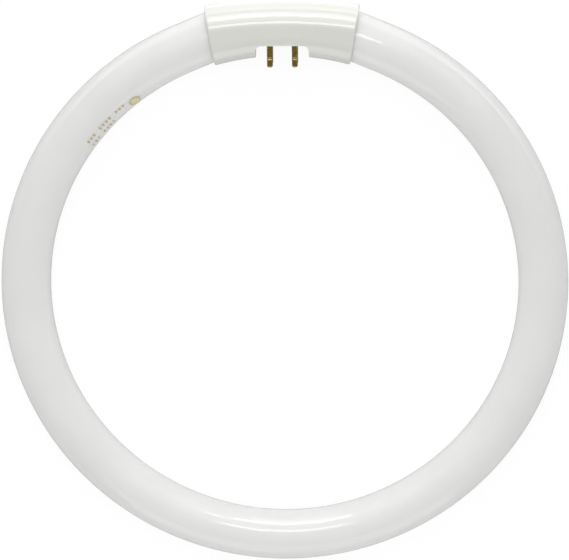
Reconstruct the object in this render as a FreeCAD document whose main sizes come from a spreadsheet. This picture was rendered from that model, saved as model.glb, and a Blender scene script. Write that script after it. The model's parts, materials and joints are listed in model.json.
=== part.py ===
import FreeCAD, Part
import math
import os
import re
import Sketcher

# A circular fluorescent lamp that lies flat: a sealed glass ring whose two ends are
# closed off by a two-part plastic cap with four contact pins that point inwards.
# Millimetres. The origin is the ring's centre, Z is the ring's axis, and +Y runs from
# the centre through the middle of the cap.

DRIVING_SIZES = {
    # Glass ring
    "ring_radius": 104.0,
    "tube_radius": 10.0,
    "straight_end": 19.3,
    "glass_end_gap": 44.0,
    "rim_round": 1.5,
    "funnel_depth": 6.0,
    "funnel_flare": 2.0,
    "throat_margin": 0.9,
    "tip_length": 5.0,
    "tip_gap": 0.4,
    # Plastic cap
    "cap_wall": 1.2,
    "cap_end_wall": 2.0,
    "tube_fit": 0.1,
    "cap_offset": 0.4,
    "cap_squash": 0.4,
    "cap_flat": 1.9,
    "cap_end_round": 0.8,
    "cap_back_length": 62.4,
    "cap_front_length": 54.0,
    "cap_straightening": 90.0,
    "cap_front_tightening": 6.0,
    "notch_depth": 5.5,
    "notch_margin": 1.7,
    "notch_corner": 2.4,
    "seam_depth": 0.2,
    "seam_width": 0.3,
    # Studs that join the two shells
    "column_radius": 2.2,
    "column_gap": 0.3,
    "column_beside_notch": 4.3,
    "middle_column_inset": 4.6,
    "peg_radius": 1.1,
    "peg_length": 3.0,
    "peg_fit": 0.1,
    "peg_free_length": 0.4,
    # Plate that carries the pins
    "plate_thickness": 2.0,
    "plate_margin_wide": 4.0,
    "plate_margin_high": 3.5,
    "plate_grip": 0.8,
    "plate_fit": 0.1,
    "front_lip": 0.8,
    "back_lip": 1.2,
    "collar_wall": 0.8,
    # Contact pins
    "pin_pitch": 10.0,
    "pin_rise": 6.35,
    "pin_radius": 1.2,
    "pin_reach": 10.1,
    "pin_tip_round": 0.9,
    "pin_shank_radius": 0.95,
    "pin_head_radius": 1.9,
    "pin_head_thickness": 0.6,
    "pin_bore_radius": 0.5,
    "pin_fit": 0.02,
    "pin_tip_wall": 1.0,
    "crimp_from_tip": 3.7,
    "crimp_radius": 0.9,
    "crimp_depth": 0.35,
    "crimp_half_length": 1.1,
    # Lead wires and their sleeves
    "wire_radius": 0.3,
    "wire_fit": 0.04,
    "wire_bend": 3.5,
    "wire_end_gap": 0.2,
    "sleeve_radius": 0.8,
    "sleeve_end_gap": 0.3,
}

# Sizes that follow from the driving ones
FOLLOWING_SIZES = {
    "half_gap": "glass_end_gap / 2",
    "end_swing": "atan(straight_end / ring_radius)"
                 " + asin(half_gap / sqrt(ring_radius ^ 2 + straight_end ^ 2))",
    "leg_x": "ring_radius * sin(end_swing)",
    "leg_y": "ring_radius * cos(end_swing)",
    "bore_radius": "tube_radius + tube_fit",
    "throat_radius": "pin_rise / 2 + wire_radius + throat_margin",
    "funnel_radius": "throat_radius + funnel_flare",
    "tip_radius": "pin_rise / 2 - sleeve_radius - tip_gap",
    "cap_height": "2 * (bore_radius + cap_wall)",
    "cap_depth": "cap_height - cap_squash",
    "cap_middle": "ring_radius + cap_offset",
    "cap_back": "cap_middle + cap_depth / 2",
    "cap_front": "cap_middle - cap_depth / 2",
    "cap_back_radius": "ring_radius + tube_radius + cap_straightening",
    "cap_front_radius": "ring_radius - cap_front_tightening",
    "cap_edge_round": "cap_height / 2 - cap_flat",
    "plate_width": "pin_pitch + 2 * plate_margin_wide",
    "plate_height": "pin_rise + 2 * plate_margin_high",
    "notch_width": "plate_width + 2 * notch_margin",
    "notch_floor": "cap_front + notch_depth",
    "plate_front": "notch_floor + front_lip",
    "plate_back": "plate_front + plate_thickness",
    "frame_back": "plate_back + back_lip",
    "pin_x": "pin_pitch / 2",
    "pin_z": "pin_rise / 2",
    "pin_tip": "notch_floor - pin_reach",
    "pin_head_back": "plate_back + pin_head_thickness",
    "crimp_middle": "pin_tip + crimp_from_tip",
    "wire_bore_radius": "wire_radius + wire_fit",
    "wire_corner": "leg_y + (leg_x - pin_x) * tan(end_swing)",
    "wire_bend_setback": "wire_bend * tan((90 deg + end_swing) / 2)",
    "column_x": "notch_width / 2 + column_beside_notch",
    "column_y": "wire_corner - (column_x - pin_x) * tan(end_swing)"
                " + (sleeve_radius + column_radius + column_gap) / cos(end_swing)",
    "middle_column_y": "cap_back - middle_column_inset",
}

SHEET_NAME = "Sizes"
# Long enough to cut right through the cap or a pin from the middle plane
LONG_CUT = 400.0
# Distance below which two places count as the same
NEAR = 0.01

doc = FreeCAD.newDocument("circular_lamp")
sheet = doc.addObject("Spreadsheet::Sheet", SHEET_NAME)


def fill_sheet():
    """Write one row a driving size: its name in column A, its number in column B."""
    for row, (name, value) in enumerate(DRIVING_SIZES.items(), start=1):
        sheet.set("A%d" % row, name.replace("_", " "))
        sheet.set("B%d" % row, str(value))
        sheet.setAlias("B%d" % row, name)
    doc.recompute()


def sized(text):
    """Turn names of sizes in a formula into references to the sheet's cells."""
    def reference(found):
        name = found.group(0)
        if name in FOLLOWING_SIZES:
            return "(" + sized(FOLLOWING_SIZES[name]) + ")"
        if name in DRIVING_SIZES:
            return SHEET_NAME + "." + name
        return name
    return re.sub(r"[a-z_]+", reference, text)


def number(thing, text):
    """The value of a formula, for the first shape of a sketch."""
    value = thing.evalExpression(sized(text))
    return float(getattr(value, "Value", value))


def bind(thing, path, text):
    """Drive one property of an object by a formula."""
    thing.setExpression(path, sized(text))


def new_body(name):
    body = doc.addObject("PartDesign::Body", name)
    body.Label = name
    return body


def origin_plane(body, role):
    for feature in body.Origin.OriginFeatures:
        if feature.Role == role:
            return feature
    raise RuntimeError("no plane " + role)


def new_sketch(body, name, role, shift=("0", "0", "0"), turn="0"):
    """A sketch on one of the body's own origin planes, moved and turned in that plane."""
    sketch = body.newObject("Sketcher::SketchObject", name)
    sketch.AttachmentSupport = (origin_plane(body, role), [""])
    sketch.MapMode = "FlatFace"
    sketch.AttachmentOffset = FreeCAD.Placement(
        FreeCAD.Vector(0, 0, 0), FreeCAD.Rotation(FreeCAD.Vector(0, 0, 1), 1))
    for axis, text in zip("xyz", shift):
        bind(sketch, "AttachmentOffset.Base." + axis, text)
    bind(sketch, "AttachmentOffset.Rotation.Angle", turn)
    return sketch


def pin_down(sketch, geometry, point, corner):
    """Hold one point of a sketch at the place that two formulas give."""
    for kind, text in zip(("DistanceX", "DistanceY"), corner):
        value = number(sketch, text)
        index = sketch.addConstraint(
            Sketcher.Constraint(kind, -1, 1, geometry, point, value))
        bind(sketch, "Constraints[%d]" % index, text)


def arc_between(first, last, radius, turn):
    """The short arc from one point to another, bending left (1) or right (-1)."""
    across = last - first
    half = across.Length / 2
    side = FreeCAD.Vector(-across.y, across.x, 0).normalize() * turn
    centre = first + across * 0.5 + side * math.sqrt(max(radius * radius - half * half, 0.0))
    begin, finish = (first, last) if turn > 0 else (last, first)
    angles = [math.atan2(p.y - centre.y, p.x - centre.x) for p in (begin, finish)]
    if angles[1] < angles[0]:
        angles[1] += 2 * math.pi
    circle = Part.Circle(centre, FreeCAD.Vector(0, 0, 1), radius)
    return Part.ArcOfCircle(circle, angles[0], angles[1])


def draw_path(sketch, corners, closed=True):
    """Draw lines and arcs through corners.

    A corner is (x, y), or (x, y, radius, turn) where the way on from it is an arc.
    """
    places = [FreeCAD.Vector(number(sketch, c[0]), number(sketch, c[1]), 0) for c in corners]
    count = len(corners) if closed else len(corners) - 1
    ends = []
    for i in range(count):
        first, last = places[i], places[(i + 1) % len(places)]
        if len(corners[i]) == 2:
            geometry = sketch.addGeometry(Part.LineSegment(first, last), False)
            ends.append((geometry, 1, 2))
        else:
            radius, turn = corners[i][2:]
            arc = arc_between(first, last, number(sketch, radius), turn)
            geometry = sketch.addGeometry(arc, False)
            ends.append((geometry, 1, 2) if turn > 0 else (geometry, 2, 1))
    for i, (geometry, start, finish) in enumerate(ends):
        pin_down(sketch, geometry, start, corners[i][:2])
        if len(corners[i]) > 2:
            index = sketch.addConstraint(Sketcher.Constraint(
                "Radius", geometry, number(sketch, corners[i][2])))
            bind(sketch, "Constraints[%d]" % index, corners[i][2])
        following = ends[(i + 1) % len(ends)]
        if closed or i < count - 1:
            sketch.addConstraint(Sketcher.Constraint(
                "Coincident", geometry, finish, following[0], following[1]))
        else:
            pin_down(sketch, geometry, finish, corners[-1][:2])


def draw_circle(sketch, centre, radius):
    place = FreeCAD.Vector(number(sketch, centre[0]), number(sketch, centre[1]), 0)
    circle = Part.Circle(place, FreeCAD.Vector(0, 0, 1), number(sketch, radius))
    geometry = sketch.addGeometry(circle, False)
    pin_down(sketch, geometry, 3, centre)
    index = sketch.addConstraint(
        Sketcher.Constraint("Radius", geometry, number(sketch, radius)))
    bind(sketch, "Constraints[%d]" % index, radius)


def rectangle(left, right, low, high):
    return [(left, low), (right, low), (right, high), (left, high)]


def revolve(body, sketch, name, axis, angle="360", midplane=False, kind="Revolution"):
    feature = body.newObject("PartDesign::" + kind, name)
    feature.Profile = sketch
    feature.ReferenceAxis = (sketch, [axis])
    feature.Midplane = midplane
    bind(feature, "Angle", angle)
    return feature


def pad(body, sketch, name, length, midplane=False, reverse=False):
    feature = body.newObject("PartDesign::Pad", name)
    feature.Profile = sketch
    feature.Midplane = midplane
    feature.Reversed = reverse
    bind(feature, "Length", length)
    return feature


def pocket(body, sketch, name, midplane=False):
    """Cut a sketch's outline right through; the volume must go down."""
    before = body.Shape.Volume
    feature = body.newObject("PartDesign::Pocket", name)
    feature.Profile = sketch
    feature.Midplane = midplane
    feature.Length = LONG_CUT
    feature.Reversed = False
    doc.recompute()
    if not feature.Shape.Volume < before:
        feature.Reversed = True
        doc.recompute()
    if not feature.Shape.Volume < before:
        raise RuntimeError(name + " cuts nothing")
    return feature


def round_edges(body, base, name, radius, chosen):
    """Fillet the edges of a feature that a test picks out."""
    doc.recompute()
    names = ["Edge%d" % i for i, edge in enumerate(base.Shape.Edges, start=1) if chosen(edge)]
    if not names:
        raise RuntimeError(name + " finds no edge")
    feature = body.newObject("PartDesign::Fillet", name)
    feature.Base = (base, names)
    bind(feature, "Radius", radius)
    return feature


def mirror_across_middle(body, name, originals):
    feature = body.newObject("PartDesign::Mirrored", name)
    feature.Originals = originals
    feature.MirrorPlane = (origin_plane(body, "YZ_Plane"), [""])
    body.Tip = feature
    return feature


def ring(name, radius, end_outline):
    """A bent tube of one radius with two straight ends of a given outline."""
    body = new_body(name)
    section = new_sketch(body, name + "_section", "YZ_Plane")
    draw_circle(section, ("-ring_radius", "0"), radius)
    revolve(body, section, name + "_bend", "V_Axis", "360 deg - 2 * end_swing", midplane=True)
    outline = new_sketch(body, name + "_end_outline", "XY_Plane",
                         ("leg_x", "leg_y", "0"), "180 deg - end_swing")
    draw_path(outline, end_outline)
    end = revolve(body, outline, name + "_end", "H_Axis")
    mirror_across_middle(body, name + "_other_end", [end])
    return body


def make_glass_tube():
    """Sealed glass: rounded rim, funnel where the stem is sealed in, and closed tip."""
    return ring("glass_tube", "tube_radius", [
        ("0", "0"),
        ("straight_end + tip_length", "0"),
        ("straight_end + tip_length", "tip_radius / 2"),
        ("straight_end + tip_length - tip_radius / 2", "tip_radius"),
        ("straight_end - funnel_depth", "tip_radius"),
        ("straight_end - funnel_depth", "throat_radius"),
        ("straight_end", "funnel_radius"),
        ("straight_end", "tube_radius - rim_round", "rim_round", 1),
        ("straight_end - rim_round", "tube_radius"),
        ("0", "tube_radius"),
    ])


def cap_form(name, wall, end_wall):
    """The cap's outer form, or the same form set in by a wall, as one rounded bar."""
    back_half = "(cap_back_length / 2 - %s)" % end_wall
    front_half = "(cap_front_length / 2 - %s)" % end_wall
    back_radius = "(cap_back_radius - %s)" % wall
    front_radius = "(cap_front_radius + %s)" % wall
    back_y = "cap_back - cap_back_radius + sqrt(%s ^ 2 - %s ^ 2)" % (back_radius, back_half)
    front_y = "cap_front - cap_front_radius + sqrt(%s ^ 2 - %s ^ 2)" % (front_radius, front_half)
    body = new_body(name)
    outline = new_sketch(body, name + "_outline", "XY_Plane")
    draw_path(outline, [
        (back_half, back_y, back_radius, 1),
        ("-" + back_half, back_y),
        ("-" + front_half, front_y, front_radius, -1),
        (front_half, front_y),
    ])
    bar = pad(body, outline, name + "_bar", "cap_height - 2 * " + wall, midplane=True)
    round_edges(body, bar, name + "_long_edges", "cap_edge_round - " + wall,
                lambda edge: isinstance(edge.Curve, Part.Circle))
    return body


def round_cap_ends(body):
    """Round the edges of the two flat end faces."""
    doc.recompute()
    solid = body.Tip
    end_edges = []
    for face in solid.Shape.Faces:
        if isinstance(face.Surface, Part.Plane) and abs(face.normalAt(0, 0).z) < NEAR:
            end_edges.extend(face.Edges)
    round_edges(body, solid, body.Label + "_end_edges", "cap_end_round",
                lambda edge: any(edge.isSame(other) for other in end_edges))


def block(name, low, high):
    """A box between two corners, each three formulas."""
    box = doc.addObject("Part::Box", name)
    for axis, size, first, last in zip("xyz", ("Length", "Width", "Height"), low, high):
        bind(box, "Placement.Base." + axis, first)
        bind(box, size, "(%s) - (%s)" % (last, first))
    return box


def post(name, x, y, low, high, radius):
    """An upright cylinder between two heights."""
    cylinder = doc.addObject("Part::Cylinder", name)
    bind(cylinder, "Radius", radius)
    bind(cylinder, "Height", "(%s) - (%s)" % (high, low))
    for axis, text in zip("xyz", (x, y, low)):
        bind(cylinder, "Placement.Base." + axis, text)
    return cylinder


def joined(name, pieces):
    union = doc.addObject("Part::MultiFuse", name)
    union.Shapes = pieces
    return union


def cut_from(name, base, tool):
    cut = doc.addObject("Part::Cut", name)
    cut.Base = base
    cut.Tool = tool
    return cut


def overlap_of(name, base, tool):
    common = doc.addObject("Part::Common", name)
    common.Base = base
    common.Tool = tool
    return common


def labelled(thing, label):
    thing.Label = label
    return thing


def make_notch():
    """The socket's recess, open at the front and right through, with round back corners."""
    body = new_body("notch")
    outline = new_sketch(body, "notch_outline", "XY_Plane")
    draw_path(outline, rectangle("-notch_width / 2", "notch_width / 2",
                                 "cap_front - cap_depth", "notch_floor"))
    bar = pad(body, outline, "notch_bar", "2 * cap_height", midplane=True)
    floor = number(outline, "notch_floor")
    round_edges(body, bar, "notch_corners", "notch_corner",
                lambda edge: all(abs(v.Y - floor) < NEAR for v in edge.Vertexes)
                and edge.BoundBox.ZLength > NEAR)
    return body


def make_seam():
    """A shallow groove round the outside, where the two shells meet."""
    core = cap_form("seam_core", "seam_depth", "seam_depth")
    side = "cap_back_length"
    band = block("seam_band", ("-" + side, "0", "-seam_width / 2"),
                 (side, "2 * cap_back", "seam_width / 2"))
    return cut_from("seam_groove", band, core)


def column_places():
    return [("-column_x", "column_y"), ("0", "middle_column_y"), ("column_x", "column_y")]


def make_cap_shells():
    """Two hollow half shells that part on the ring's middle plane."""
    outside = cap_form("cap_outside", "0", "0")
    round_cap_ends(outside)
    inside = cap_form("cap_inside", "cap_wall", "cap_end_wall")
    top = "cap_height"
    frame = block("plate_frame", ("-notch_width / 2 - cap_wall", "cap_front - cap_wall", "-" + top),
                  ("notch_width / 2 + cap_wall", "frame_back", top))
    columns = [post("column_%d" % i, x, y, "-" + top, top, "column_radius")
               for i, (x, y) in enumerate(column_places(), start=1)]
    hollow = cut_from("hollow", inside, joined("kept_inside", [frame] + columns))
    slot = block("plate_slot",
                 ("-plate_width / 2 - plate_fit", "plate_front - plate_fit",
                  "-plate_height / 2 - plate_fit"),
                 ("plate_width / 2 + plate_fit", "plate_back", "plate_height / 2 + plate_fit"))
    window = block("plate_window",
                   ("plate_grip - plate_width / 2", "notch_floor - cap_wall",
                    "plate_grip - plate_height / 2"),
                   ("plate_width / 2 - plate_grip", "frame_back + cap_wall",
                    "plate_height / 2 - plate_grip"))
    glass_space = ring("glass_space", "bore_radius", [
        ("0", "0"), ("straight_end + wire_end_gap", "0"),
        ("straight_end + wire_end_gap", "bore_radius"), ("0", "bore_radius")])
    openings = joined("cap_openings", [make_notch(), slot, window, glass_space, make_seam()])
    cap = cut_from("whole_cap", cut_from("cap_walls", outside, hollow), openings)

    side = "cap_back_length"
    upper_side = block("upper_side", ("-" + side, "0", "0"), (side, "2 * cap_back", top))
    lower_side = block("lower_side", ("-" + side, "0", "-" + top), (side, "2 * cap_back", "0"))
    sockets = [post("socket_%d" % i, x, y, "0", "peg_length + peg_free_length",
                    "peg_radius + peg_fit")
               for i, (x, y) in enumerate(column_places(), start=1)]
    pegs = [post("peg_%d" % i, x, y, "-column_radius", "peg_length", "peg_radius")
            for i, (x, y) in enumerate(column_places(), start=1)]
    upper_half = overlap_of("upper_half", cap, upper_side)
    lower_half = overlap_of("lower_half", cap, lower_side)
    upper = cut_from("upper_shell", upper_half, joined("sockets", sockets))
    lower = joined("lower_shell", [lower_half] + pegs)
    return [labelled(upper, "cap_upper_shell"), labelled(lower, "cap_lower_shell")]


def pin_places():
    """Name, sign of X and sign of Z of each pin."""
    return [(level + "_" + side, x, z)
            for level, z in (("upper", 1), ("lower", -1))
            for side, x in (("left", -1), ("right", 1))]


def signed(sign, text):
    return text if sign > 0 else "-(" + text + ")"


def make_pin_plate():
    """Insulating plate, held in the shells' slot, with a collar round each pin."""
    body = new_body("pin_plate")
    back = ("0", "0", "-(plate_back)")
    outline = new_sketch(body, "plate_outline", "XZ_Plane", back)
    draw_path(outline, rectangle("-plate_width / 2", "plate_width / 2",
                                 "-plate_height / 2", "plate_height / 2"))
    pad(body, outline, "plate_sheet", "plate_thickness")
    collars = new_sketch(body, "collar_circles", "XZ_Plane", back)
    holes = new_sketch(body, "hole_circles", "XZ_Plane", back)
    for _name, x, z in pin_places():
        centre = (signed(x, "pin_x"), signed(z, "pin_z"))
        draw_circle(collars, centre, "pin_radius + collar_wall")
        draw_circle(holes, centre, "pin_shank_radius + pin_fit")
    pad(body, collars, "collars", "plate_back - notch_floor")
    doc.recompute()
    pocket(body, holes, "pin_holes", midplane=True)
    return body


def make_pin(place, x, z):
    """Hollow pin: round tip, shoulder on the collar, thinner shank through the plate, head
    behind it, long bore, and a crimp from both sides."""
    body = new_body(place + "_contact_pin")
    shift = (signed(x, "pin_x"), "pin_tip", signed(z, "pin_z"))
    section = new_sketch(body, place + "_pin_section", "XY_Plane", shift)
    head = "plate_back - pin_tip"
    crimp_end = "crimp_from_tip + crimp_half_length"
    draw_path(section, [
        ("0", "0"),
        ("pin_radius - pin_tip_round", "0", "pin_tip_round", 1),
        ("pin_radius", "pin_tip_round"),
        ("pin_radius", "pin_reach"),
        ("pin_shank_radius", "pin_reach"),
        ("pin_shank_radius", head),
        ("pin_head_radius", head),
        ("pin_head_radius", head + " + pin_head_thickness"),
        ("pin_bore_radius", head + " + pin_head_thickness"),
        ("pin_bore_radius", crimp_end),
        ("wire_bore_radius", crimp_end),
        ("wire_bore_radius", "pin_tip_wall"),
        ("0", "pin_tip_wall"),
    ])
    revolve(body, section, place + "_pin_body", "V_Axis")
    crimp = new_sketch(body, place + "_crimp_circles", "YZ_Plane")
    for side in (1, -1):
        lift = signed(side, "pin_radius + crimp_radius - crimp_depth")
        draw_circle(crimp, ("crimp_middle", "%s + %s" % (signed(z, "pin_z"), lift)), "crimp_radius")
    doc.recompute()
    pocket(body, crimp, place + "_crimp", midplane=True)
    return body


def make_lead(name, x, z, first_y, leg_distance, radii):
    """A round wire or sleeve from a pin, over one bend, to a distance along the glass end."""
    body = new_body(name)
    spine = new_sketch(body, name + "_route", "XY_Plane", ("0", "0", signed(z, "pin_z")))
    draw_path(spine, [
        (signed(x, "pin_x"), first_y),
        (signed(x, "pin_x"), "wire_corner - wire_bend_setback", "wire_bend", -x),
        (signed(x, "pin_x + wire_bend_setback * cos(end_swing)"),
         "wire_corner - wire_bend_setback * sin(end_swing)"),
        (signed(x, "leg_x - (%s) * cos(end_swing)" % leg_distance),
         "leg_y + (%s) * sin(end_swing)" % leg_distance),
    ], closed=False)
    section = new_sketch(body, name + "_section", "XZ_Plane", ("0", "0", "-(%s)" % first_y))
    for radius in radii:
        draw_circle(section, (signed(x, "pin_x"), signed(z, "pin_z")), radius)
    pipe = body.newObject("PartDesign::AdditivePipe", name + "_pipe")
    pipe.Profile = section
    pipe.Spine = (spine, ["Edge1", "Edge2", "Edge3"])
    return body


def make_pins_and_leads():
    made = []
    for place, x, z in pin_places():
        made.append(make_pin(place, x, z))
        made.append(make_lead(place + "_lead_wire", x, z,
                              "pin_tip + pin_tip_wall + wire_end_gap",
                              "straight_end - funnel_depth", ["wire_radius"]))
        made.append(make_lead(place + "_wire_sleeve", x, z,
                              "pin_head_back + sleeve_end_gap",
                              "straight_end + sleeve_end_gap",
                              ["sleeve_radius", "wire_bore_radius"]))
    return made


def check(nodes):
    """Stop if any object failed, or any piece isn't one valid closed solid."""
    for thing in doc.Objects:
        if any(word in thing.State for word in ("Invalid", "Error")):
            raise RuntimeError(thing.Name + " failed")
    for node in nodes:
        shape = node.Shape
        if shape.isNull() or not shape.isValid() or len(shape.Solids) != 1:
            raise RuntimeError(node.Label + " isn't one valid solid")


def main():
    fill_sheet()
    nodes = [make_glass_tube()] + make_cap_shells() + [make_pin_plate()]
    nodes += make_pins_and_leads()
    doc.recompute()
    check(nodes)
    os.makedirs("parts", exist_ok=True)
    for node in nodes:
        node.Shape.exportStep(os.path.join("parts", node.Label + ".step"))


main()
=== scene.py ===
import json
import math

import bmesh
import bpy
from bpy.props import FloatProperty, FloatVectorProperty, IntProperty, PointerProperty
from mathutils import Matrix, Vector

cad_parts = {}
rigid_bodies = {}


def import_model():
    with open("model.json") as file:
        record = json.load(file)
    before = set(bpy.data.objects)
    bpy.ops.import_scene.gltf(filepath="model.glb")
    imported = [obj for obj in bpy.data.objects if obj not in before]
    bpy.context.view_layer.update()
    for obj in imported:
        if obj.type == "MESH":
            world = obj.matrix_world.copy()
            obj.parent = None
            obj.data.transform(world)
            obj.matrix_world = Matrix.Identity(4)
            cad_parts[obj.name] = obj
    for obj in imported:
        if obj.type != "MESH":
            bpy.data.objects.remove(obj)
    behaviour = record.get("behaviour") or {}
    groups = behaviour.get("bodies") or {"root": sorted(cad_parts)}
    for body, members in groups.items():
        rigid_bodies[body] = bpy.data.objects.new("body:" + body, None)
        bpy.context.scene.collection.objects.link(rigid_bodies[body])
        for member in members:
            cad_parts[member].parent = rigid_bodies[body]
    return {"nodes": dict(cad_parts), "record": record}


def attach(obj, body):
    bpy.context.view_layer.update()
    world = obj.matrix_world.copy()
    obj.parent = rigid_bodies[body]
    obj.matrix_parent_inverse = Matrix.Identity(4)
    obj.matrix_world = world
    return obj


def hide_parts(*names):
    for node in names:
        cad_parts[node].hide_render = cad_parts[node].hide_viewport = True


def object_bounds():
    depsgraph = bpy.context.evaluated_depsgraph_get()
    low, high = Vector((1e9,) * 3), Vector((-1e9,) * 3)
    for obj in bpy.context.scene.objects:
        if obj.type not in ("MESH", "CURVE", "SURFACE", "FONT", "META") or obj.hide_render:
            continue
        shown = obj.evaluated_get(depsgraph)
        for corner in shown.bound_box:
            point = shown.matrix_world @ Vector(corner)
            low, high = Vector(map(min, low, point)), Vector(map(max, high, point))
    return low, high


bl_info = {
    "name": "Circular Fluorescent Tube",
    "version": (1, 0, 0),
    "blender": (4, 5, 0),
    "location": "3D View > Sidebar > Ring Lamp",
    "description": "Models, finishes and lights a ring lamp round its measured frame",
    "category": "Object",
}

# Metres. The origin is the ring's centre, Z is the ring's axis, and +Y runs from the
# centre through the middle of the cap.
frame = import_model()
bpy.context.view_layer.update()
CAD_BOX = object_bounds()
MOUNTS = {mount["name"]: mount for mount in frame["record"]["mounts"]}
CLIP_SEAT = Vector(MOUNTS["clip_seat_front"]["pos_m"])
PIN_AXIS = Vector(MOUNTS["upper_right_pin"]["pos_m"])
FLOOR_HEIGHT = CAD_BOX[0].z

MM = 0.001
TOUCH = 0.01 * MM  # how near a place a point has to be to count as there
WELD = 0.001 * MM  # how near two points have to be to become one
SMOOTH_ANGLE = math.radians(35)
CAP_NODES = ("cap_upper_shell", "cap_lower_shell")
PIN_PLACES = ("upper_left", "upper_right", "lower_left", "lower_right")


# Settings

class RingGlassSettings(bpy.types.PropertyGroup):
    ring_radius: FloatProperty(
        name="Ring Radius", description="From the ring's centre to the middle of the tube",
        default=-CLIP_SEAT.y, unit="LENGTH")
    tube_radius: FloatProperty(
        name="Tube Radius", description="Outer radius of the glass tube",
        default=-CLIP_SEAT.z, unit="LENGTH")
    straight_end: FloatProperty(
        name="Straight End", description="Length of unbent tube at each end, inside the cap",
        default=19.3 * MM, unit="LENGTH")
    end_gap: FloatProperty(
        name="Gap Between Ends", description="Distance between the two glass ends",
        default=44.0 * MM, unit="LENGTH")
    rim_round: FloatProperty(
        name="Rim Round", description="Radius of the fire-rounded rim", default=1.5 * MM,
        unit="LENGTH")
    funnel_depth: FloatProperty(
        name="Funnel Depth", description="How far the stem's seal is sunk into the end",
        default=6.0 * MM, unit="LENGTH")
    funnel_flare: FloatProperty(
        name="Funnel Flare", description="How much wider the funnel is at its mouth",
        default=2.0 * MM, unit="LENGTH")
    throat_margin: FloatProperty(
        name="Throat Margin", description="Room in the throat beyond the middle of a wire",
        default=1.2 * MM, unit="LENGTH")
    tip_length: FloatProperty(
        name="Exhaust Tip Length", description="How far the closed exhaust tube stands out",
        default=5.0 * MM, unit="LENGTH")
    tip_margin: FloatProperty(
        name="Exhaust Tip Margin", description="Room from the exhaust tube to a wire's middle",
        default=1.2 * MM, unit="LENGTH")
    rim_steps: IntProperty(
        name="Rim Steps", description="Steps round the fire-rounded rim", default=6, min=2)
    tip_steps: IntProperty(
        name="Exhaust Tip Steps", description="Steps round the exhaust tube's end", default=5,
        min=2)
    section_points: IntProperty(
        name="Section Points", description="Points round the tube", default=72, min=12)
    bend_steps: IntProperty(
        name="Bend Steps", description="Steps along the bent tube", default=210, min=12)
    coating_color: FloatVectorProperty(
        name="Coating Colour", description="White powder seen through the glass",
        default=(0.80, 0.80, 0.79), subtype="COLOR")


class PrintSettings(bpy.types.PropertyGroup):
    ink_thickness: FloatProperty(
        name="Ink Thickness", description="Height of the ink on the glass", default=0.03 * MM,
        unit="LENGTH")
    ink_body: FloatProperty(
        name="Ink Body", description="The ink's whole thickness, part of it in the glass",
        default=0.045 * MM, unit="LENGTH")
    first_azimuth: FloatProperty(
        name="First Mark", description="Place of the rows' upper end round the ring",
        default=math.radians(130.8), unit="ROTATION")
    mark_spacing: FloatProperty(
        name="Mark Spacing", description="From one small mark to the next along the tube",
        default=1.95 * MM, unit="LENGTH")
    mark_radius: FloatProperty(
        name="Mark Radius", description="Radius of a small mark's round end",
        default=0.42 * MM, unit="LENGTH")
    mark_length: FloatProperty(
        name="Mark Length", description="Length of a small mark across the tube",
        default=1.7 * MM, unit="LENGTH")
    mark_points: IntProperty(
        name="Mark Points", description="Points round a small mark", default=24, min=8)
    patch_azimuth: FloatProperty(
        name="Patch Place", description="Place of the round patch round the ring",
        default=math.radians(127.9), unit="ROTATION")
    patch_radius: FloatProperty(
        name="Patch Radius", description="Outer radius of the round patch", default=2.5 * MM,
        unit="LENGTH")
    patch_line: FloatProperty(
        name="Patch Line", description="Width of the darker line round the patch",
        default=0.5 * MM, unit="LENGTH")
    patch_inward: FloatProperty(
        name="Patch Inward", description="How far the patch is in from the top of the tube",
        default=math.radians(50.0), unit="ROTATION")
    patch_points: IntProperty(
        name="Patch Points", description="Points round the patch", default=48, min=8)
    patch_line_steps: IntProperty(
        name="Patch Line Steps", description="Steps across the line", default=2, min=1)
    patch_fill_steps: IntProperty(
        name="Patch Fill Steps", description="Steps across the patch inside it", default=5,
        min=1)
    ink_color: FloatVectorProperty(
        name="Ink Colour", description="Amber printing ink", default=(0.54, 0.45, 0.20),
        subtype="COLOR")
    pale_ink_color: FloatVectorProperty(
        name="Pale Ink Colour", description="Thinner ink that fills the patch",
        default=(0.72, 0.67, 0.41), subtype="COLOR")


class FinishSettings(bpy.types.PropertyGroup):
    cap_color: FloatVectorProperty(
        name="Cap Colour", description="Moulded plastic of the cap",
        default=(0.725, 0.735, 0.685), subtype="COLOR")
    plate_color: FloatVectorProperty(
        name="Plate Colour", description="Insulating plate that carries the pins",
        default=(0.72, 0.70, 0.62), subtype="COLOR")
    brass_color: FloatVectorProperty(
        name="Brass Colour", description="Slightly dark brass of the pins",
        default=(0.42, 0.31, 0.07), subtype="COLOR")
    wire_color: FloatVectorProperty(
        name="Wire Colour", description="Nickel-plated lead wires",
        default=(0.62, 0.60, 0.57), subtype="COLOR")
    sleeve_color: FloatVectorProperty(
        name="Sleeve Colour", description="Glass-fibre sleeves",
        default=(0.82, 0.80, 0.74), subtype="COLOR")


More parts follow.
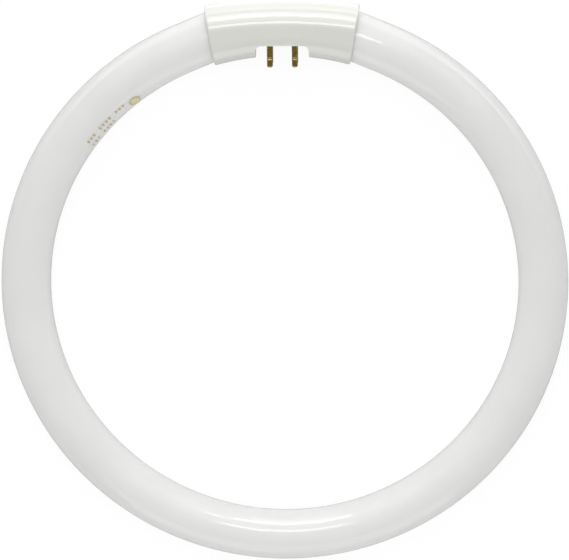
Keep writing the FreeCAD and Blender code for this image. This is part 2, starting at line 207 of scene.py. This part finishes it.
class StageSettings(bpy.types.PropertyGroup):
    view_tilt: FloatProperty(
        name="View Tilt", description="Angle between the view and the ring's axis",
        default=math.radians(12.3), unit="ROTATION")
    view_bearing: FloatProperty(
        name="View Bearing", description="Turn of the view from the cap's side towards +X",
        default=math.radians(6.2), unit="ROTATION")
    view_roll: FloatProperty(
        name="View Roll", description="How far the cap leans left in the picture",
        default=math.radians(0.58), unit="ROTATION")
    view_distance: FloatProperty(
        name="View Distance", description="From the camera to the ring's centre", default=6.0,
        unit="LENGTH")
    picture_width: FloatProperty(
        name="Picture Width", description="Width that the picture covers at the ring",
        default=228.84 * MM, unit="LENGTH")
    centre_right: FloatProperty(
        name="Centre Right", description="How far right of the picture's middle the ring is",
        default=0.13 * MM, unit="LENGTH")
    centre_down: FloatProperty(
        name="Centre Down", description="How far below the picture's middle the ring is",
        default=0.79 * MM, unit="LENGTH")
    floor_size: FloatProperty(
        name="Floor Size", description="Side of the floor", default=12.0, unit="LENGTH")
    sky_strength: FloatProperty(
        name="Sky Strength", description="Even light from all round", default=0.405)
    sky_in_gloss: FloatProperty(
        name="Sky in Gloss", description="Brightness of the sky as gloss shows it", default=0.24)
    bright_sky_in_gloss: FloatProperty(
        name="Bright Sky in Gloss", description="The same at the middle of its bright side",
        default=1.5)
    bright_sky_elevation: FloatProperty(
        name="Bright Sky Elevation", description="How high the bright side's middle is",
        default=math.radians(33.0), unit="ROTATION")
    bright_sky_reach: FloatProperty(
        name="Bright Sky Reach", description="Where the bright side has faded out",
        default=math.radians(55.0), unit="ROTATION")
    floor_color: FloatVectorProperty(
        name="Floor Colour", description="Floor in the light of the lamps",
        default=(0.9, 0.9, 0.9), subtype="COLOR")
    floor_white: FloatProperty(
        name="Floor White", description="Floor's glow as the camera sees it", default=1.05)
    floor_in_gloss: FloatProperty(
        name="Floor in Gloss", description="Floor's glow as gloss shows it", default=0.40)
    floor_behind: FloatProperty(
        name="Floor Behind", description="The same close behind the cap", default=1.45)
    floor_beyond: FloatProperty(
        name="Floor Beyond", description="The same beyond the cap, towards the window",
        default=2.8)
    behind_fade: FloatProperty(
        name="Behind Fade", description="Way over which the floor turns to that brightness",
        default=5.0 * MM, unit="LENGTH")
    beyond_start: FloatProperty(
        name="Beyond Start", description="Where the floor beyond the cap starts to brighten",
        default=116.0 * MM, unit="LENGTH")
    beyond_end: FloatProperty(
        name="Beyond End", description="Where the floor beyond the cap is at its brightest",
        default=200.0 * MM, unit="LENGTH")
    floor_share: FloatProperty(
        name="Floor Share", description="Share of glow in the floor, the rest takes shadows",
        default=0.85, subtype="FACTOR")


# Selecting and shaping

def deselect_all():
    for thing in bpy.context.view_layer.objects:
        thing.select_set(False)


def make_active(thing):
    """Select one thing alone and make it the active one."""
    deselect_all()
    thing.select_set(True)
    bpy.context.view_layer.objects.active = thing


def select_points(thing, test):
    """In edit mode, select the points whose place passes a test, and nothing else."""
    mesh = bmesh.from_edit_mesh(thing.data)
    place = thing.matrix_world
    for part in (mesh.faces, mesh.edges, mesh.verts):
        for element in part:
            element.select_set(False)
    for point in mesh.verts:
        if test(place @ point.co):
            point.select_set(True)
    mesh.select_flush(True)
    bmesh.update_edit_mesh(thing.data)


def settle(thing):
    """Put the finished piece's place in its mesh, and shade it."""
    make_active(thing)
    bpy.ops.object.transform_apply(location=True, rotation=True, scale=True)
    bpy.ops.object.mode_set(mode="EDIT")
    bpy.ops.mesh.select_all(action="SELECT")
    bpy.ops.mesh.normals_make_consistent(inside=False)
    bpy.ops.object.mode_set(mode="OBJECT")
    bpy.ops.object.shade_smooth_by_angle(angle=SMOOTH_ANGLE)
    deselect_all()


def paint(thing, material):
    thing.data.materials.clear()
    thing.data.materials.append(material)


def paint_node(name, material):
    """Give a node of the frame a material, in the slot that it has."""
    frame["nodes"][name].material_slots[0].material = material


# Materials

def new_material(name):
    material = bpy.data.materials.new(name)
    material.use_nodes = True
    tree = material.node_tree
    shader = tree.nodes["Principled BSDF"]
    return material, tree, shader


def add_node(tree, kind, place, **values):
    node = tree.nodes.new(kind)
    node.location = place
    for name, value in values.items():
        setattr(node, name, value)
    return node


def object_coordinates(tree, place=(-1100, 0)):
    return add_node(tree, "ShaderNodeTexCoord", place).outputs["Object"]


def noise(tree, coordinates, place, scale, detail=3.0, roughness=0.5):
    node = add_node(tree, "ShaderNodeTexNoise", place)
    tree.links.new(coordinates, node.inputs["Vector"])
    node.inputs["Scale"].default_value = scale
    node.inputs["Detail"].default_value = detail
    node.inputs["Roughness"].default_value = roughness
    return node.outputs["Fac"]


def shades(tree, factor, place, dark, light, low=0.3, high=0.7):
    """A ramp from one colour to another, between two values of a factor."""
    node = add_node(tree, "ShaderNodeValToRGB", place)
    first, last = node.color_ramp.elements
    first.position, first.color = low, (*dark, 1.0)
    last.position, last.color = high, (*light, 1.0)
    tree.links.new(factor, node.inputs["Fac"])
    return node.outputs["Color"]


def spread(tree, factor, place, low, high, start=0.0, end=1.0, **values):
    """A factor, which runs from start to end, mapped to a range of plain numbers."""
    node = add_node(tree, "ShaderNodeMapRange", place, **values)
    node.inputs["From Min"].default_value = start
    node.inputs["From Max"].default_value = end
    node.inputs["To Min"].default_value = low
    node.inputs["To Max"].default_value = high
    tree.links.new(factor, node.inputs["Value"])
    return node.outputs["Result"]


def relief(tree, shader, height, place, strength, depth, socket="Normal"):
    """Fine height on a surface, or on its coat alone."""
    node = add_node(tree, "ShaderNodeBump", place)
    node.inputs["Strength"].default_value = strength
    node.inputs["Distance"].default_value = depth
    tree.links.new(height, node.inputs["Height"])
    tree.links.new(node.outputs["Normal"], shader.inputs[socket])


def tinted(color, factor):
    return tuple(min(channel * factor, 1.0) for channel in color)


def combined(tree, operation, place, first, second):
    """Two sockets put together by one sum."""
    node = add_node(tree, "ShaderNodeMath", place, operation=operation)
    tree.links.new(first, node.inputs[0])
    tree.links.new(second, node.inputs[1])
    return node.outputs[0]


def blend_surfaces(tree, factor, place, first, second, output):
    """The second of two surfaces where the factor is 1, as a tree's output."""
    blend = add_node(tree, "ShaderNodeMixShader", place)
    for socket, source in zip(blend.inputs, (factor, first, second)):
        tree.links.new(source, socket)
    tree.links.new(blend.outputs[0], tree.nodes[output].inputs["Surface"])


def coated_glass_material(color):
    """Clear, slightly wavy glass over an even white powder with faint clouds in it."""
    material, tree, shader = new_material("powder_coated_glass")
    where = object_coordinates(tree)
    clouds = noise(tree, where, (-850, 200), scale=45.0, detail=4.0)
    tone = shades(tree, clouds, (-600, 200), tinted(color, 0.982), tinted(color, 1.012))
    tree.links.new(tone, shader.inputs["Base Color"])
    shader.inputs["Roughness"].default_value = 0.9
    shader.inputs["Specular IOR Level"].default_value = 0.0
    shader.inputs["Subsurface Weight"].default_value = 0.5
    shader.inputs["Subsurface Radius"].default_value = (1.0, 1.0, 1.0)
    shader.inputs["Subsurface Scale"].default_value = 6.0 * MM
    shader.inputs["Coat Weight"].default_value = 1.0
    shader.inputs["Coat Roughness"].default_value = 0.03
    shader.inputs["Coat IOR"].default_value = 1.5
    waves = noise(tree, where, (-850, -250), scale=70.0, detail=1.0)
    relief(tree, shader, waves, (-350, -300), strength=0.15, depth=0.2 * MM,
           socket="Coat Normal")
    return material


def ink_material(name, color):
    """Thin amber ink, uneven as printed."""
    material, tree, shader = new_material(name)
    where = object_coordinates(tree)
    patches = noise(tree, where, (-850, 200), scale=900.0, detail=3.0)
    tone = shades(tree, patches, (-600, 200), tinted(color, 0.85), tinted(color, 1.15))
    tree.links.new(tone, shader.inputs["Base Color"])
    shader.inputs["Roughness"].default_value = 0.55
    relief(tree, shader, patches, (-350, -250), strength=0.3, depth=0.02 * MM)
    return material


def moulded_plastic_material(name, color, roughness, gloss, density):
    """Moulded plastic with faint flow tones and a fine uneven skin."""
    material, tree, shader = new_material(name)
    where = object_coordinates(tree)
    flow = noise(tree, where, (-850, 250), scale=60.0, detail=3.0)
    tone = shades(tree, flow, (-600, 250), tinted(color, 0.985), tinted(color, 1.01))
    tree.links.new(tone, shader.inputs["Base Color"])
    skin = noise(tree, where, (-850, -50), scale=900.0, detail=2.0)
    uneven = spread(tree, skin, (-600, -50), low=roughness * 0.95, high=roughness * 1.05)
    tree.links.new(uneven, shader.inputs["Roughness"])
    shader.inputs["IOR"].default_value = density
    shader.inputs["Coat Weight"].default_value = gloss
    shader.inputs["Coat Roughness"].default_value = 0.06
    shader.inputs["Coat IOR"].default_value = density
    relief(tree, shader, skin, (-350, -300), strength=0.006, depth=0.02 * MM)
    return material


def brass_material(color):
    """Drawn brass: fine lines along the pin and darker tarnish in patches."""
    material, tree, shader = new_material("dark_brass")
    where = object_coordinates(tree)
    patches = noise(tree, where, (-850, 300), scale=700.0, detail=4.0, roughness=0.6)
    tone = shades(tree, patches, (-600, 300), tinted(color, 0.7), tinted(color, 1.35))
    tree.links.new(tone, shader.inputs["Base Color"])
    lines = add_node(tree, "ShaderNodeMapping", (-1000, -250))
    lines.inputs["Scale"].default_value = (1.0, 0.04, 1.0)
    tree.links.new(where, lines.inputs["Vector"])
    drawn = noise(tree, lines.outputs["Vector"], (-800, -250), scale=6000.0, detail=2.0)
    uneven = spread(tree, drawn, (-600, -80), low=0.2, high=0.32)
    tree.links.new(uneven, shader.inputs["Roughness"])
    shader.inputs["Metallic"].default_value = 1.0
    shader.inputs["Coat Weight"].default_value = 0.8
    shader.inputs["Coat Roughness"].default_value = 0.1
    relief(tree, shader, drawn, (-350, -350), strength=0.12, depth=0.02 * MM)
    return material


def plated_wire_material(color):
    """Nickel plate with dull patches."""
    material, tree, shader = new_material("plated_wire")
    where = object_coordinates(tree)
    dull = noise(tree, where, (-850, 200), scale=1200.0, detail=3.0)
    tone = shades(tree, dull, (-600, 200), tinted(color, 0.85), tinted(color, 1.08))
    tree.links.new(tone, shader.inputs["Base Color"])
    uneven = spread(tree, dull, (-600, -80), low=0.25, high=0.4)
    tree.links.new(uneven, shader.inputs["Roughness"])
    shader.inputs["Metallic"].default_value = 1.0
    relief(tree, shader, dull, (-350, -250), strength=0.15, depth=0.02 * MM)
    return material


def braided_sleeve_material(color):
    """Glass-fibre braid: two crossing sets of diagonal strands."""
    material, tree, shader = new_material("braided_fibre")
    where = object_coordinates(tree)
    bands = []
    for height, slant in ((200, 1.0), (-100, -1.0)):
        turn = add_node(tree, "ShaderNodeMapping", (-1000, height))
        turn.inputs["Rotation"].default_value = (0.0, 0.0, slant * math.radians(45))
        tree.links.new(where, turn.inputs["Vector"])
        wave = add_node(tree, "ShaderNodeTexWave", (-800, height))
        wave.inputs["Scale"].default_value = 900.0
        tree.links.new(turn.outputs["Vector"], wave.inputs["Vector"])
        bands.append(wave.outputs["Fac"])
    weave = combined(tree, "MAXIMUM", (-600, 50), *bands)
    tone = shades(tree, weave, (-400, 200), tinted(color, 0.8), color, low=0.2, high=0.9)
    tree.links.new(tone, shader.inputs["Base Color"])
    shader.inputs["Roughness"].default_value = 0.85
    relief(tree, shader, weave, (-350, -250), strength=0.5, depth=0.06 * MM)
    return material


# Pieces

def ring_place(azimuth, radius):
    """A place on the ring's middle plane."""
    return Vector((radius * math.cos(azimuth), radius * math.sin(azimuth), 0.0))


def end_swing(glass):
    """How far the straight ends begin from the cap's middle, as an angle round the ring."""
    reach = math.hypot(glass.ring_radius, glass.straight_end)
    return (math.atan(glass.straight_end / glass.ring_radius)
            + math.asin(glass.end_gap / 2 / reach))


def end_stations(glass):
    """Distance along the end and radius of each loop, from the bend to the exhaust tip."""
    throat = PIN_AXIS.z + glass.throat_margin
    tip = PIN_AXIS.z - glass.tip_margin
    stations = [(glass.straight_end - glass.rim_round, glass.tube_radius)]
    for step in range(1, glass.rim_steps + 1):
        angle = math.pi / 2 * step / glass.rim_steps
        stations.append((glass.straight_end - glass.rim_round * (1 - math.sin(angle)),
                         glass.tube_radius - glass.rim_round * (1 - math.cos(angle))))
    stations.append((glass.straight_end, throat + glass.funnel_flare))
    stations.append((glass.straight_end - glass.funnel_depth, throat))
    stations.append((glass.straight_end - glass.funnel_depth, tip))
    tip_end = glass.straight_end + glass.tip_length
    for step in range(glass.tip_steps):
        angle = math.pi / 2 * step / glass.tip_steps
        stations.append((tip_end - tip / 2 * (1 - math.sin(angle)),
                         tip / 2 * (1 + math.cos(angle))))
    stations.append((tip_end, tip / 2))
    return stations


def model_glass(glass):
    """Spin a circle into the bent tube, then draw out and close both straight ends."""
    deselect_all()
    swing = end_swing(glass)
    first = math.pi / 2 + swing
    bpy.ops.mesh.primitive_circle_add(
        vertices=glass.section_points, radius=glass.tube_radius,
        location=ring_place(first, glass.ring_radius), rotation=(math.pi / 2, 0.0, first))
    tube = bpy.context.active_object
    tube.name = tube.data.name = "glass_ring"
    bpy.ops.object.mode_set(mode="EDIT")
    bpy.ops.mesh.select_all(action="SELECT")
    bpy.ops.mesh.spin(steps=glass.bend_steps, angle=2 * (swing - math.pi),
                      center=(0.0, 0.0, 0.0), axis=(0.0, 0.0, 1.0))
    for side in (-1, 1):
        azimuth = math.pi / 2 - side * swing
        middle = ring_place(azimuth, glass.ring_radius)
        onward = Vector((-side * math.sin(azimuth), side * math.cos(azimuth), 0.0))
        select_points(tube, lambda place: abs((place - middle).dot(onward)) < TOUCH
                      and (place - middle).length < glass.tube_radius + TOUCH)
        along, radius = 0.0, glass.tube_radius
        for next_along, next_radius in end_stations(glass):
            bpy.ops.mesh.extrude_region_move(
                TRANSFORM_OT_translate={"value": onward * (next_along - along)})
            bpy.ops.transform.resize(
                value=(next_radius / radius,) * 3,
                center_override=middle + onward * next_along)
            along, radius = next_along, next_radius
        bpy.ops.mesh.merge(type="CENTER")
    bpy.ops.mesh.select_all(action="SELECT")
    bpy.ops.mesh.remove_doubles(threshold=WELD)
    bpy.ops.object.mode_set(mode="OBJECT")
    settle(tube)
    return tube


def on_glass(glass, azimuth, inward):
    """Place and turn of a mark on the glass, an angle in from the top of the tube.

    Its X runs along the tube, and its Z out of the glass."""
    outward = Vector((math.cos(azimuth), math.sin(azimuth), 0.0))
    normal = Vector((0.0, 0.0, 1.0)) * math.cos(inward) - outward * math.sin(inward)
    along = Vector((-math.sin(azimuth), math.cos(azimuth), 0.0))
    turn = Matrix((along, normal.cross(along), normal)).transposed()
    place = ring_place(azimuth, glass.ring_radius) + normal * glass.tube_radius
    return place, turn.to_euler()


# Degrees in from the top of the tube, and the places that hold a mark, counted in
# spacings from the rows' upper end
PRINT_ROWS = ((37.0, (0, 1, 2, 4, 5, 6, 7, 9, 10, 11)), (57.0, (4, 5, 6, 7, 9, 10, 11)))


def model_mark(glass, ink, azimuth, inward):
    """A small dash with round ends that lies across the tube."""
    place, turn = on_glass(glass, azimuth, inward)
    across = turn.to_matrix() @ Vector((0.0, 1.0, 0.0))
    stretch = ink.mark_length / 2 - ink.mark_radius
    deselect_all()
    bpy.ops.mesh.primitive_circle_add(
        vertices=ink.mark_points, radius=ink.mark_radius, fill_type="NGON",
        location=place, rotation=turn)
    mark = bpy.context.active_object
    bpy.ops.object.mode_set(mode="EDIT")
    for way in (across, -across):
        select_points(mark, lambda point: (point - place).dot(way) > TOUCH)
        bpy.ops.transform.translate(value=way * stretch)
    bpy.ops.object.mode_set(mode="OBJECT")
    return mark


def model_band(glass, ink, outer, inner, steps):
    """A flat ring between two radii, or a disc where the inner one is nought."""
    place, turn = on_glass(glass, ink.patch_azimuth, ink.patch_inward)
    deselect_all()
    bpy.ops.mesh.primitive_circle_add(
        vertices=ink.patch_points, radius=outer, location=place, rotation=turn)
    band = bpy.context.active_object
    bpy.ops.object.mode_set(mode="EDIT")
    bpy.ops.mesh.select_all(action="SELECT")
    radius = outer
    for step in range(1, steps + 1):
        smaller = max(outer + (inner - outer) * step / steps, TOUCH)
        bpy.ops.mesh.extrude_region_move()
        bpy.ops.transform.resize(value=(smaller / radius,) * 3, center_override=place)
        radius = smaller
    if inner == 0.0:
        bpy.ops.mesh.merge(type="CENTER")
    bpy.ops.object.mode_set(mode="OBJECT")
    return band


def print_on(tube, ink, pieces, name):
    """Join flat pieces, lay them on the glass and give the ink its thickness."""
    deselect_all()
    for piece in pieces:
        piece.select_set(True)
    bpy.context.view_layer.objects.active = pieces[0]
    if len(pieces) > 1:
        bpy.ops.object.join()
    printed = bpy.context.active_object
    printed.name = printed.data.name = name
    bpy.ops.object.transform_apply(location=True, rotation=True, scale=True)
    wrap = printed.modifiers.new("lay_on_glass", "SHRINKWRAP")
    wrap.target = tube
    wrap.wrap_method = "NEAREST_SURFACEPOINT"
    wrap.wrap_mode = "ABOVE_SURFACE"
    wrap.offset = ink.ink_thickness
    bpy.ops.object.modifier_apply(modifier=wrap.name)
    body = printed.modifiers.new("ink_body", "SOLIDIFY")
    body.thickness = ink.ink_body
    body.offset = -1.0
    bpy.ops.object.modifier_apply(modifier=body.name)
    settle(printed)
    return printed


def model_print(glass, ink, tube):
    """Two rows of plain marks with a plain ring, and the pale patch inside the ring."""
    spacing = ink.mark_spacing / glass.ring_radius
    pieces = []
    for inward, places in PRINT_ROWS:
        for place in places:
            pieces.append(model_mark(glass, ink, ink.first_azimuth + spacing * place,
                                     math.radians(inward)))
    inside = ink.patch_radius - ink.patch_line
    pieces.append(model_band(glass, ink, ink.patch_radius, inside, ink.patch_line_steps))
    marks = print_on(tube, ink, pieces, "printed_marks")
    fill = model_band(glass, ink, inside, 0.0, ink.patch_fill_steps)
    return marks, print_on(tube, ink, [fill], "printed_patch")


class RING_LAMP_OT_glass(bpy.types.Operator):
    """Model the bent glass tube in place of the plain one"""
    bl_idname = "ring_lamp.glass"
    bl_label = "Glass Ring"

    def execute(self, context):
        glass = context.scene.ring_lamp_glass
        tube = model_glass(glass)
        paint(tube, coated_glass_material(glass.coating_color))
        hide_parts("glass_tube")
        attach(tube, "root")
        return {"FINISHED"}


class RING_LAMP_OT_print(bpy.types.Operator):
    """Print plain amber marks on the glass"""
    bl_idname = "ring_lamp.print"
    bl_label = "Printed Marks"

    def execute(self, context):
        settings = context.scene.ring_lamp_print
        marks, patch = model_print(context.scene.ring_lamp_glass, settings,
                                   bpy.data.objects["glass_ring"])
        paint(marks, ink_material("amber_ink", settings.ink_color))
        paint(patch, ink_material("thin_amber_ink", settings.pale_ink_color))
        for piece in (marks, patch):
            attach(piece, "root")
        return {"FINISHED"}


class RING_LAMP_OT_cap(bpy.types.Operator):
    """Finish the cap's two shells and the plate that carries the pins"""
    bl_idname = "ring_lamp.cap"
    bl_label = "Cap and Plate"

    def execute(self, context):
        finish = context.scene.ring_lamp_finish
        plastic = moulded_plastic_material(
            "glossy_cap_plastic", finish.cap_color, roughness=0.28, gloss=1.0, density=1.53)
        for name in CAP_NODES:
            paint_node(name, plastic)
        plate = moulded_plastic_material(
            "satin_plate_plastic", finish.plate_color, roughness=0.5, gloss=0.1, density=1.5)
        paint_node("pin_plate", plate)
        return {"FINISHED"}


class RING_LAMP_OT_pins(bpy.types.Operator):
    """Finish the four contact pins"""
    bl_idname = "ring_lamp.pins"
    bl_label = "Contact Pins"

    def execute(self, context):
        brass = brass_material(context.scene.ring_lamp_finish.brass_color)
        for place in PIN_PLACES:
            paint_node(place + "_contact_pin", brass)
        return {"FINISHED"}


class RING_LAMP_OT_leads(bpy.types.Operator):
    """Finish the lead wires and their sleeves"""
    bl_idname = "ring_lamp.leads"
    bl_label = "Leads and Sleeves"

    def execute(self, context):
        finish = context.scene.ring_lamp_finish
        wire = plated_wire_material(finish.wire_color)
        sleeve = braided_sleeve_material(finish.sleeve_color)
        for place in PIN_PLACES:
            paint_node(place + "_lead_wire", wire)
            paint_node(place + "_wire_sleeve", sleeve)
        return {"FINISHED"}


# Stage

# Name, degrees up, degrees from the cap's side, distance, width, height, brightness in a
# mirror, and whether gloss shows it
LAMPS = (
    ("window_low", 15.0, 0.0, 2.0, 2.2, 0.8, 1.2, False),
    ("window_middle", 40.0, 0.0, 2.0, 2.2, 0.8, 0.7, False),
    ("window_high", 64.0, 0.0, 2.0, 2.2, 0.6, 0.55, False),
    ("card_middle", 30.0, 180.0, 2.0, 2.2, 0.8, 1.1, True),
    ("card_low", 10.0, 180.0, 2.0, 2.2, 0.6, 1.0, True),
    ("fill_bottom", 57.0, 180.0, 0.24, 0.2, 0.1, 1.4, False),
    ("fill_top", 57.0, 0.0, 0.24, 0.2, 0.1, 0.5, False),
    ("fill_left", 10.0, -95.0, 0.3, 0.36, 0.1, 0.65, False),
    ("fill_right", 10.0, 95.0, 0.3, 0.36, 0.1, 0.65, False),
    ("low_strip", 31.0, -3.0, 2.0, 1.1, 0.45, 4.2, True),
    ("sill", 18.0, -3.0, 2.0, 0.8, 0.3, 1.6, True),
    ("high_strip", 67.0, -2.0, 2.0, 0.65, 0.32, 4.0, True),
    ("corner_strip", 46.2, 21.8, 0.319, 0.03, 0.04, 5.0, True),
)


def seen_directly(tree, place):
    """1 for rays from the camera, from gloss and through glass, and 0 for light on the object."""
    path = add_node(tree, "ShaderNodeLightPath", place)
    total = path.outputs["Is Camera Ray"]
    for index, name in enumerate(("Is Glossy Ray", "Is Transmission Ray"), start=1):
        beside = (place[0] + 200 * index, place[1])
        total = combined(tree, "MAXIMUM", beside, total, path.outputs[name])
    return path, total


def by_camera(tree, path, place, in_gloss, direct):
    """One brightness for rays from the camera, and a socket's for reflections."""
    node = add_node(tree, "ShaderNodeMapRange", place)
    tree.links.new(in_gloss, node.inputs["To Min"])
    node.inputs["To Max"].default_value = direct
    tree.links.new(path.outputs["Is Camera Ray"], node.inputs["Value"])
    return node.outputs["Result"]


def floor_material(stage):
    """A white floor that the camera sees as white, with the lamp's soft shadow kept.

    Gloss sees it darker, but behind the cap and beyond it brighter."""
    material, tree, shader = new_material("white_floor")
    shader.inputs["Base Color"].default_value = (*stage.floor_color, 1.0)
    shader.inputs["Roughness"].default_value = 1.0
    shader.inputs["Specular IOR Level"].default_value = 0.0
    path, seen = seen_directly(tree, (-900, 400))
    where = add_node(tree, "ShaderNodeSeparateXYZ", (-900, -600))
    tree.links.new(object_coordinates(tree, (-1100, -600)), where.inputs[0])
    near = spread(tree, where.outputs["Y"], (-700, -600),
                  low=stage.floor_in_gloss, high=stage.floor_behind,
                  start=stage.beyond_start - stage.behind_fade, end=stage.beyond_start)
    far = spread(tree, where.outputs["Y"], (-700, -900),
                 low=0.0, high=stage.floor_beyond - stage.floor_behind,
                 start=stage.beyond_start, end=stage.beyond_end)
    in_gloss = combined(tree, "ADD", (-500, -700), near, far)
    glow = add_node(tree, "ShaderNodeEmission", (0, -400))
    tree.links.new(by_camera(tree, path, (-300, -400), in_gloss, stage.floor_white),
                   glow.inputs["Strength"])
    share = add_node(tree, "ShaderNodeMath", (0, 200), operation="MULTIPLY")
    tree.links.new(seen, share.inputs[0])
    share.inputs[1].default_value = stage.floor_share
    blend_surfaces(tree, share.outputs[0], (300, 100), shader.outputs[0], glow.outputs[0],
                   "Material Output")
    return material


def add_floor(stage):
    """Lay the floor under the ring."""
    deselect_all()
    bpy.ops.mesh.primitive_plane_add(
        size=stage.floor_size, location=(0.0, 0.0, FLOOR_HEIGHT))
    floor = bpy.context.active_object
    floor.name = "floor"
    settle(floor)
    paint(floor, floor_material(stage))


def light_sky(scene, stage):
    """Even light from all round.

    The camera sees it white, and gloss sees it grey with a bright side behind the cap."""
    world = bpy.data.worlds.new("studio_sky")
    scene.world = world
    world.use_nodes = True
    tree = world.node_tree
    lit = tree.nodes["Background"]
    lit.inputs["Color"].default_value = (1.0, 1.0, 1.0, 1.0)
    lit.inputs["Strength"].default_value = stage.sky_strength
    white = add_node(tree, "ShaderNodeBackground", (0, -200))
    white.inputs["Color"].default_value = (1.0, 1.0, 1.0, 1.0)
    path, seen = seen_directly(tree, (-900, 300))
    toward = add_node(tree, "ShaderNodeVectorMath", (-900, -200), operation="DOT_PRODUCT")
    tree.links.new(add_node(tree, "ShaderNodeTexCoord", (-1100, -200)).outputs["Generated"],
                   toward.inputs[0])
    toward.inputs[1].default_value = (0.0, math.cos(stage.bright_sky_elevation),
                                      math.sin(stage.bright_sky_elevation))
    in_gloss = spread(tree, toward.outputs["Value"], (-700, -200),
                      low=stage.sky_in_gloss, high=stage.bright_sky_in_gloss,
                      start=math.cos(stage.bright_sky_reach),
                      interpolation_type="SMOOTHSTEP")
    tree.links.new(by_camera(tree, path, (-300, -200), in_gloss, 1.0),
                   white.inputs["Strength"])
    blend_surfaces(tree, seen, (300, 0), lit.outputs[0], white.outputs[0], "World Output")


def add_lamp(name, elevation, bearing, distance, width, height, radiance, in_gloss):
    """A rectangular lamp that faces the ring's centre."""
    elevation, bearing = math.radians(elevation), math.radians(bearing)
    direction = Vector((math.sin(bearing) * math.cos(elevation),
                        math.cos(bearing) * math.cos(elevation), math.sin(elevation)))
    data = bpy.data.lights.new(name, "AREA")
    data.shape = "RECTANGLE"
    data.size, data.size_y = width, height
    data.energy = radiance * math.pi * width * height
    lamp = bpy.data.objects.new(name, data)
    lamp.location = direction * distance
    lamp.rotation_euler = direction.to_track_quat("Z", "Y").to_euler()
    lamp.visible_camera = False
    lamp.visible_glossy = in_gloss
    bpy.context.scene.collection.objects.link(lamp)


def add_camera(scene, stage):
    """Look down on the ring from far off, with the cap at the top of the picture."""
    back = Vector((math.sin(stage.view_tilt) * math.sin(stage.view_bearing),
                   math.sin(stage.view_tilt) * math.cos(stage.view_bearing),
                   math.cos(stage.view_tilt)))
    cap_side = Vector((0.0, 1.0, 0.0))
    up = (cap_side - back * cap_side.dot(back)).normalized()
    up = Matrix.Rotation(-stage.view_roll, 3, back) @ up
    right = up.cross(back)
    data = bpy.data.cameras.new("camera")
    data.lens = data.sensor_width * stage.view_distance / stage.picture_width
    data.clip_end = 2 * stage.floor_size
    camera = bpy.data.objects.new("camera", data)
    target = up * stage.centre_down - right * stage.centre_right
    turn = Matrix((right, up, back)).transposed().to_4x4()
    camera.matrix_world = Matrix.Translation(target + back * stage.view_distance) @ turn
    scene.collection.objects.link(camera)
    scene.camera = camera


class RING_LAMP_OT_stage(bpy.types.Operator):
    """Set the floor, the lamps and the camera"""
    bl_idname = "ring_lamp.stage"
    bl_label = "Floor, Light and Camera"

    def execute(self, context):
        scene = context.scene
        stage = scene.ring_lamp_stage
        scene.view_settings.view_transform = "Standard"
        add_floor(stage)
        light_sky(scene, stage)
        for lamp in LAMPS:
            add_lamp(*lamp)
        add_camera(scene, stage)
        return {"FINISHED"}


OPERATORS = (RING_LAMP_OT_glass, RING_LAMP_OT_print, RING_LAMP_OT_cap, RING_LAMP_OT_pins,
             RING_LAMP_OT_leads, RING_LAMP_OT_stage)


class RING_LAMP_PT_sidebar(bpy.types.Panel):
    """The steps that build the lamp, in order"""
    bl_idname = "RING_LAMP_PT_sidebar"
    bl_label = "Ring Lamp"
    bl_space_type = "VIEW_3D"
    bl_region_type = "UI"
    bl_category = "Ring Lamp"

    def draw(self, context):
        for operator in OPERATORS:
            self.layout.operator(operator.bl_idname)


SETTINGS = {
    "ring_lamp_glass": RingGlassSettings,
    "ring_lamp_print": PrintSettings,
    "ring_lamp_finish": FinishSettings,
    "ring_lamp_stage": StageSettings,
}
CLASSES = (*SETTINGS.values(), *OPERATORS, RING_LAMP_PT_sidebar)


def register():
    for cls in CLASSES:
        bpy.utils.register_class(cls)
    for name, group in SETTINGS.items():
        setattr(bpy.types.Scene, name, PointerProperty(type=group))


def unregister():
    for name in SETTINGS:
        delattr(bpy.types.Scene, name)
    for cls in reversed(CLASSES):
        bpy.utils.unregister_class(cls)


def main():
    register()
    bpy.ops.ring_lamp.glass()
    bpy.ops.ring_lamp.print()
    bpy.ops.ring_lamp.cap()
    bpy.ops.ring_lamp.pins()
    bpy.ops.ring_lamp.leads()
    bpy.ops.ring_lamp.stage()
    bpy.context.view_layer.update()


if __name__ == "__main__":
    main()
